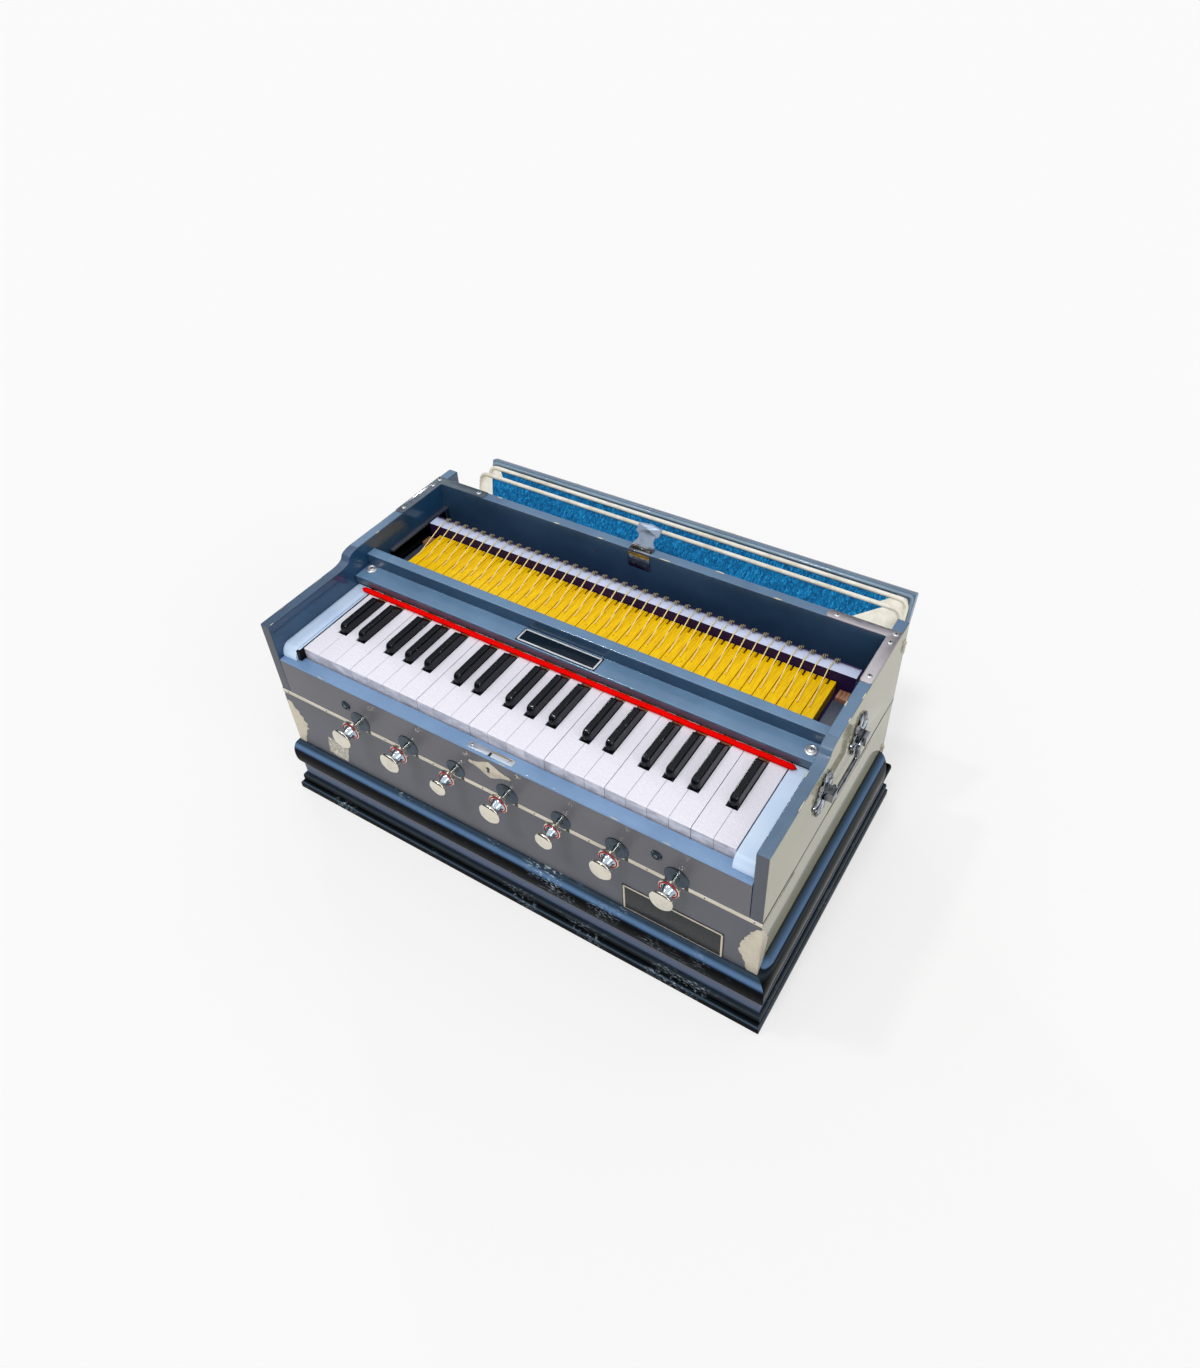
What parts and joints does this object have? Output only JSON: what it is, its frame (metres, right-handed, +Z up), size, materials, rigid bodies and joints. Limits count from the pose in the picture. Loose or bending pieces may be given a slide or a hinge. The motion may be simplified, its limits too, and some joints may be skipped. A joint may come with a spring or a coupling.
{
  "type": "indian harmonium",
  "caption": "Hand-pumped portable reed organ in a low wooden case on a moulded plinth, with a keyboard, pull stops, sprung pallets in an open well and folding rear bellows",
  "frame": {"origin": "under the middle of the whole instrument, on the surface that it stands on", "axes": "+X along the keyboard to the high notes, +Y from the player to the bellows, +Z up"},
  "size_m": [0.6356, 0.4448, 0.306],
  "materials": {
    "black_lacquer": "gloss lacquer",
    "grey_paint": "satin paint",
    "blue_grey_paint": "satin paint",
    "bare_wood": "bare",
    "lavender_paint": "satin paint",
    "spring_wire": "drawn wire",
    "chrome": "bright plating",
    "ivory_plastic": "polished",
    "ebony_plastic": "polished",
    "bellows_cloth": "short pile"
  },
  "bodies": {
    "case": {"plinth": "black_lacquer", "lower_case": "grey_paint", "upper_case": "blue_grey_paint", "front_rail": "grey_paint", "reed_board": "bare_wood", "name_board": "blue_grey_paint", "spring_rail": "lavender_paint", "key_springs": "spring_wire", "bellows_folds": "bellows_cloth"},
    "white_key_01": {"white_key_01": "ivory_plastic"},
    "black_key_01": {"black_key_01": "ebony_plastic"},
    "white_key_02": {"white_key_02": "ivory_plastic"},
    "black_key_02": {"black_key_02": "ebony_plastic"},
    "white_key_03": {"white_key_03": "ivory_plastic"},
    "white_key_04": {"white_key_04": "ivory_plastic"},
    "black_key_03": {"black_key_03": "ebony_plastic"},
    "white_key_05": {"white_key_05": "ivory_plastic"},
    "black_key_04": {"black_key_04": "ebony_plastic"},
    "white_key_06": {"white_key_06": "ivory_plastic"},
    "black_key_05": {"black_key_05": "ebony_plastic"},
    "white_key_07": {"white_key_07": "ivory_plastic"},
    "white_key_08": {"white_key_08": "ivory_plastic"},
    "black_key_06": {"black_key_06": "ebony_plastic"},
    "white_key_09": {"white_key_09": "ivory_plastic"},
    "black_key_07": {"black_key_07": "ebony_plastic"},
    "white_key_10": {"white_key_10": "ivory_plastic"},
    "white_key_11": {"white_key_11": "ivory_plastic"},
    "black_key_08": {"black_key_08": "ebony_plastic"},
    "white_key_12": {"white_key_12": "ivory_plastic"},
    "black_key_09": {"black_key_09": "ebony_plastic"},
    "white_key_13": {"white_key_13": "ivory_plastic"},
    "black_key_10": {"black_key_10": "ebony_plastic"},
    "white_key_14": {"white_key_14": "ivory_plastic"},
    "white_key_15": {"white_key_15": "ivory_plastic"},
    "black_key_11": {"black_key_11": "ebony_plastic"},
    "white_key_16": {"white_key_16": "ivory_plastic"},
    "black_key_12": {"black_key_12": "ebony_plastic"},
    "white_key_17": {"white_key_17": "ivory_plastic"},
    "white_key_18": {"white_key_18": "ivory_plastic"},
    "black_key_13": {"black_key_13": "ebony_plastic"},
    "white_key_19": {"white_key_19": "ivory_plastic"},
    "black_key_14": {"black_key_14": "ebony_plastic"},
    "white_key_20": {"white_key_20": "ivory_plastic"},
    "black_key_15": {"black_key_15": "ebony_plastic"},
    "white_key_21": {"white_key_21": "ivory_plastic"},
    "white_key_22": {"white_key_22": "ivory_plastic"},
    "black_key_16": {"black_key_16": "ebony_plastic"},
    "white_key_23": {"white_key_23": "ivory_plastic"},
    "stop_1": {"stop_1": "chrome"},
    "stop_2": {"stop_2": "chrome"},
    "stop_3": {"stop_3": "chrome"},
    "stop_4": {"stop_4": "chrome"},
    "stop_5": {"stop_5": "chrome"},
    "stop_6": {"stop_6": "chrome"},
    "stop_7": {"stop_7": "chrome"},
    "bellows_board": {"bellows_board": "blue_grey_paint"},
    "latch_clip": {"latch_clip": "chrome"},
    "handle_right": {"handle_right": "chrome"},
    "handle_left": {"handle_left": "chrome"},
    "reservoir_board": {"reservoir_board": "bare_wood"}
  },
  "joints": [
    {"name": "white_key_01_hinge", "type": "hinge", "parent": "case", "child": "white_key_01", "pos_m": [-0.25903, -0.04194, 0.2225], "axis": [1, 0, 0], "range_deg": [0, 3.5], "stiffness_Nm_per_rad": 0.3, "springref_deg": -14.32, "deforming": ["key_springs"]},
    {"name": "black_key_01_hinge", "type": "hinge", "parent": "case", "child": "black_key_01", "pos_m": [-0.2455, -0.04194, 0.2225], "axis": [1, 0, 0], "range_deg": [0, 3.5], "stiffness_Nm_per_rad": 0.3, "springref_deg": -14.32, "deforming": ["key_springs"]},
    {"name": "white_key_02_hinge", "type": "hinge", "parent": "case", "child": "white_key_02", "pos_m": [-0.23197, -0.04194, 0.2225], "axis": [1, 0, 0], "range_deg": [0, 3.5], "stiffness_Nm_per_rad": 0.3, "springref_deg": -14.32, "deforming": ["key_springs"]},
    {"name": "black_key_02_hinge", "type": "hinge", "parent": "case", "child": "black_key_02", "pos_m": [-0.21843, -0.04194, 0.2225], "axis": [1, 0, 0], "range_deg": [0, 3.5], "stiffness_Nm_per_rad": 0.3, "springref_deg": -14.32, "deforming": ["key_springs"]},
    {"name": "white_key_03_hinge", "type": "hinge", "parent": "case", "child": "white_key_03", "pos_m": [-0.2049, -0.04194, 0.2225], "axis": [1, 0, 0], "range_deg": [0, 3.5], "stiffness_Nm_per_rad": 0.3, "springref_deg": -14.32, "deforming": ["key_springs"]},
    {"name": "white_key_04_hinge", "type": "hinge", "parent": "case", "child": "white_key_04", "pos_m": [-0.19137, -0.04194, 0.2225], "axis": [1, 0, 0], "range_deg": [0, 3.5], "stiffness_Nm_per_rad": 0.3, "springref_deg": -14.32, "deforming": ["key_springs"]},
    {"name": "black_key_03_hinge", "type": "hinge", "parent": "case", "child": "black_key_03", "pos_m": [-0.17783, -0.04194, 0.2225], "axis": [1, 0, 0], "range_deg": [0, 3.5], "stiffness_Nm_per_rad": 0.3, "springref_deg": -14.32, "deforming": ["key_springs"]},
    {"name": "white_key_05_hinge", "type": "hinge", "parent": "case", "child": "white_key_05", "pos_m": [-0.1643, -0.04194, 0.2225], "axis": [1, 0, 0], "range_deg": [0, 3.5], "stiffness_Nm_per_rad": 0.3, "springref_deg": -14.32, "deforming": ["key_springs"]},
    {"name": "black_key_04_hinge", "type": "hinge", "parent": "case", "child": "black_key_04", "pos_m": [-0.15077, -0.04194, 0.2225], "axis": [1, 0, 0], "range_deg": [0, 3.5], "stiffness_Nm_per_rad": 0.3, "springref_deg": -14.32, "deforming": ["key_springs"]},
    {"name": "white_key_06_hinge", "type": "hinge", "parent": "case", "child": "white_key_06", "pos_m": [-0.13723, -0.04194, 0.2225], "axis": [1, 0, 0], "range_deg": [0, 3.5], "stiffness_Nm_per_rad": 0.3, "springref_deg": -14.32, "deforming": ["key_springs"]},
    {"name": "black_key_05_hinge", "type": "hinge", "parent": "case", "child": "black_key_05", "pos_m": [-0.1237, -0.04194, 0.2225], "axis": [1, 0, 0], "range_deg": [0, 3.5], "stiffness_Nm_per_rad": 0.3, "springref_deg": -14.32, "deforming": ["key_springs"]},
    {"name": "white_key_07_hinge", "type": "hinge", "parent": "case", "child": "white_key_07", "pos_m": [-0.11017, -0.04194, 0.2225], "axis": [1, 0, 0], "range_deg": [0, 3.5], "stiffness_Nm_per_rad": 0.3, "springref_deg": -14.32, "deforming": ["key_springs"]},
    {"name": "white_key_08_hinge", "type": "hinge", "parent": "case", "child": "white_key_08", "pos_m": [-0.09663, -0.04194, 0.2225], "axis": [1, 0, 0], "range_deg": [0, 3.5], "stiffness_Nm_per_rad": 0.3, "springref_deg": -14.32, "deforming": ["key_springs"]},
    {"name": "black_key_06_hinge", "type": "hinge", "parent": "case", "child": "black_key_06", "pos_m": [-0.0831, -0.04194, 0.2225], "axis": [1, 0, 0], "range_deg": [0, 3.5], "stiffness_Nm_per_rad": 0.3, "springref_deg": -14.32, "deforming": ["key_springs"]},
    {"name": "white_key_09_hinge", "type": "hinge", "parent": "case", "child": "white_key_09", "pos_m": [-0.06957, -0.04194, 0.2225], "axis": [1, 0, 0], "range_deg": [0, 3.5], "stiffness_Nm_per_rad": 0.3, "springref_deg": -14.32, "deforming": ["key_springs"]},
    {"name": "black_key_07_hinge", "type": "hinge", "parent": "case", "child": "black_key_07", "pos_m": [-0.05603, -0.04194, 0.2225], "axis": [1, 0, 0], "range_deg": [0, 3.5], "stiffness_Nm_per_rad": 0.3, "springref_deg": -14.32, "deforming": ["key_springs"]},
    {"name": "white_key_10_hinge", "type": "hinge", "parent": "case", "child": "white_key_10", "pos_m": [-0.0425, -0.04194, 0.2225], "axis": [1, 0, 0], "range_deg": [0, 3.5], "stiffness_Nm_per_rad": 0.3, "springref_deg": -14.32, "deforming": ["key_springs"]},
    {"name": "white_key_11_hinge", "type": "hinge", "parent": "case", "child": "white_key_11", "pos_m": [-0.02897, -0.04194, 0.2225], "axis": [1, 0, 0], "range_deg": [0, 3.5], "stiffness_Nm_per_rad": 0.3, "springref_deg": -14.32, "deforming": ["key_springs"]},
    {"name": "black_key_08_hinge", "type": "hinge", "parent": "case", "child": "black_key_08", "pos_m": [-0.01543, -0.04194, 0.2225], "axis": [1, 0, 0], "range_deg": [0, 3.5], "stiffness_Nm_per_rad": 0.3, "springref_deg": -14.32, "deforming": ["key_springs"]},
    {"name": "white_key_12_hinge", "type": "hinge", "parent": "case", "child": "white_key_12", "pos_m": [-0.0019, -0.04194, 0.2225], "axis": [1, 0, 0], "range_deg": [0, 3.5], "stiffness_Nm_per_rad": 0.3, "springref_deg": -14.32, "deforming": ["key_springs"]},
    {"name": "black_key_09_hinge", "type": "hinge", "parent": "case", "child": "black_key_09", "pos_m": [0.01163, -0.04194, 0.2225], "axis": [1, 0, 0], "range_deg": [0, 3.5], "stiffness_Nm_per_rad": 0.3, "springref_deg": -14.32, "deforming": ["key_springs"]},
    {"name": "white_key_13_hinge", "type": "hinge", "parent": "case", "child": "white_key_13", "pos_m": [0.02517, -0.04194, 0.2225], "axis": [1, 0, 0], "range_deg": [0, 3.5], "stiffness_Nm_per_rad": 0.3, "springref_deg": -14.32, "deforming": ["key_springs"]},
    {"name": "black_key_10_hinge", "type": "hinge", "parent": "case", "child": "black_key_10", "pos_m": [0.0387, -0.04194, 0.2225], "axis": [1, 0, 0], "range_deg": [0, 3.5], "stiffness_Nm_per_rad": 0.3, "springref_deg": -14.32, "deforming": ["key_springs"]},
    {"name": "white_key_14_hinge", "type": "hinge", "parent": "case", "child": "white_key_14", "pos_m": [0.05223, -0.04194, 0.2225], "axis": [1, 0, 0], "range_deg": [0, 3.5], "stiffness_Nm_per_rad": 0.3, "springref_deg": -14.32, "deforming": ["key_springs"]},
    {"name": "white_key_15_hinge", "type": "hinge", "parent": "case", "child": "white_key_15", "pos_m": [0.06577, -0.04194, 0.2225], "axis": [1, 0, 0], "range_deg": [0, 3.5], "stiffness_Nm_per_rad": 0.3, "springref_deg": -14.32, "deforming": ["key_springs"]},
    {"name": "black_key_11_hinge", "type": "hinge", "parent": "case", "child": "black_key_11", "pos_m": [0.0793, -0.04194, 0.2225], "axis": [1, 0, 0], "range_deg": [0, 3.5], "stiffness_Nm_per_rad": 0.3, "springref_deg": -14.32, "deforming": ["key_springs"]},
    {"name": "white_key_16_hinge", "type": "hinge", "parent": "case", "child": "white_key_16", "pos_m": [0.09283, -0.04194, 0.2225], "axis": [1, 0, 0], "range_deg": [0, 3.5], "stiffness_Nm_per_rad": 0.3, "springref_deg": -14.32, "deforming": ["key_springs"]},
    {"name": "black_key_12_hinge", "type": "hinge", "parent": "case", "child": "black_key_12", "pos_m": [0.10637, -0.04194, 0.2225], "axis": [1, 0, 0], "range_deg": [0, 3.5], "stiffness_Nm_per_rad": 0.3, "springref_deg": -14.32, "deforming": ["key_springs"]},
    {"name": "white_key_17_hinge", "type": "hinge", "parent": "case", "child": "white_key_17", "pos_m": [0.1199, -0.04194, 0.2225], "axis": [1, 0, 0], "range_deg": [0, 3.5], "stiffness_Nm_per_rad": 0.3, "springref_deg": -14.32, "deforming": ["key_springs"]},
    {"name": "white_key_18_hinge", "type": "hinge", "parent": "case", "child": "white_key_18", "pos_m": [0.13343, -0.04194, 0.2225], "axis": [1, 0, 0], "range_deg": [0, 3.5], "stiffness_Nm_per_rad": 0.3, "springref_deg": -14.32, "deforming": ["key_springs"]},
    {"name": "black_key_13_hinge", "type": "hinge", "parent": "case", "child": "black_key_13", "pos_m": [0.14697, -0.04194, 0.2225], "axis": [1, 0, 0], "range_deg": [0, 3.5], "stiffness_Nm_per_rad": 0.3, "springref_deg": -14.32, "deforming": ["key_springs"]},
    {"name": "white_key_19_hinge", "type": "hinge", "parent": "case", "child": "white_key_19", "pos_m": [0.1605, -0.04194, 0.2225], "axis": [1, 0, 0], "range_deg": [0, 3.5], "stiffness_Nm_per_rad": 0.3, "springref_deg": -14.32, "deforming": ["key_springs"]},
    {"name": "black_key_14_hinge", "type": "hinge", "parent": "case", "child": "black_key_14", "pos_m": [0.17403, -0.04194, 0.2225], "axis": [1, 0, 0], "range_deg": [0, 3.5], "stiffness_Nm_per_rad": 0.3, "springref_deg": -14.32, "deforming": ["key_springs"]},
    {"name": "white_key_20_hinge", "type": "hinge", "parent": "case", "child": "white_key_20", "pos_m": [0.18757, -0.04194, 0.2225], "axis": [1, 0, 0], "range_deg": [0, 3.5], "stiffness_Nm_per_rad": 0.3, "springref_deg": -14.32, "deforming": ["key_springs"]},
    {"name": "black_key_15_hinge", "type": "hinge", "parent": "case", "child": "black_key_15", "pos_m": [0.2011, -0.04194, 0.2225], "axis": [1, 0, 0], "range_deg": [0, 3.5], "stiffness_Nm_per_rad": 0.3, "springref_deg": -14.32, "deforming": ["key_springs"]},
    {"name": "white_key_21_hinge", "type": "hinge", "parent": "case", "child": "white_key_21", "pos_m": [0.21463, -0.04194, 0.2225], "axis": [1, 0, 0], "range_deg": [0, 3.5], "stiffness_Nm_per_rad": 0.3, "springref_deg": -14.32, "deforming": ["key_springs"]},
    {"name": "white_key_22_hinge", "type": "hinge", "parent": "case", "child": "white_key_22", "pos_m": [0.22817, -0.04194, 0.2225], "axis": [1, 0, 0], "range_deg": [0, 3.5], "stiffness_Nm_per_rad": 0.3, "springref_deg": -14.32, "deforming": ["key_springs"]},
    {"name": "black_key_16_hinge", "type": "hinge", "parent": "case", "child": "black_key_16", "pos_m": [0.2417, -0.04194, 0.2225], "axis": [1, 0, 0], "range_deg": [0, 3.5], "stiffness_Nm_per_rad": 0.3, "springref_deg": -14.32, "deforming": ["key_springs"]},
    {"name": "white_key_23_hinge", "type": "hinge", "parent": "case", "child": "white_key_23", "pos_m": [0.25523, -0.04194, 0.2225], "axis": [1, 0, 0], "range_deg": [0, 3.5], "stiffness_Nm_per_rad": 0.3, "springref_deg": -14.32, "deforming": ["key_springs"]},
    {"name": "stop_1_slide", "type": "slide", "parent": "case", "child": "stop_1", "axis": [0, -1, 0], "range_m": [-0.01, 0.018]},
    {"name": "stop_2_slide", "type": "slide", "parent": "case", "child": "stop_2", "axis": [0, -1, 0], "range_m": [-0.01, 0.018]},
    {"name": "stop_3_slide", "type": "slide", "parent": "case", "child": "stop_3", "axis": [0, -1, 0], "range_m": [-0.01, 0.018]},
    {"name": "stop_4_slide", "type": "slide", "parent": "case", "child": "stop_4", "axis": [0, -1, 0], "range_m": [-0.01, 0.018]},
    {"name": "stop_5_slide", "type": "slide", "parent": "case", "child": "stop_5", "axis": [0, -1, 0], "range_m": [-0.01, 0.018]},
    {"name": "stop_6_slide", "type": "slide", "parent": "case", "child": "stop_6", "axis": [0, -1, 0], "range_m": [-0.01, 0.018]},
    {"name": "stop_7_slide", "type": "slide", "parent": "case", "child": "stop_7", "axis": [0, -1, 0], "range_m": [-0.01, 0.018]},
    {"name": "bellows_board_hinge", "type": "hinge", "parent": "case", "child": "bellows_board", "pos_m": [0, 0.14256, 0.077], "axis": [1, 0, 0], "range_deg": [-15, 20.5], "deforming": ["bellows_folds"]},
    {"name": "latch_clip_hinge", "type": "hinge", "parent": "case", "child": "latch_clip", "pos_m": [0, 0.11556, 0.284], "axis": [-1, 0, 0], "range_deg": [-10, 50]},
    {"name": "handle_right_hinge", "type": "hinge", "parent": "case", "child": "handle_right", "pos_m": [0.312, -0.02794, 0.232], "axis": [0, -1, 0], "range_deg": [0, 165]},
    {"name": "handle_left_hinge", "type": "hinge", "parent": "case", "child": "handle_left", "pos_m": [-0.312, -0.02794, 0.232], "axis": [0, 1, 0], "range_deg": [0, 165]},
    {"name": "reservoir_board_hinge", "type": "hinge", "parent": "case", "child": "reservoir_board", "pos_m": [0, 0.10006, 0.0751], "axis": [-1, 0, 0], "range_deg": [0, 10]}
  ]
}
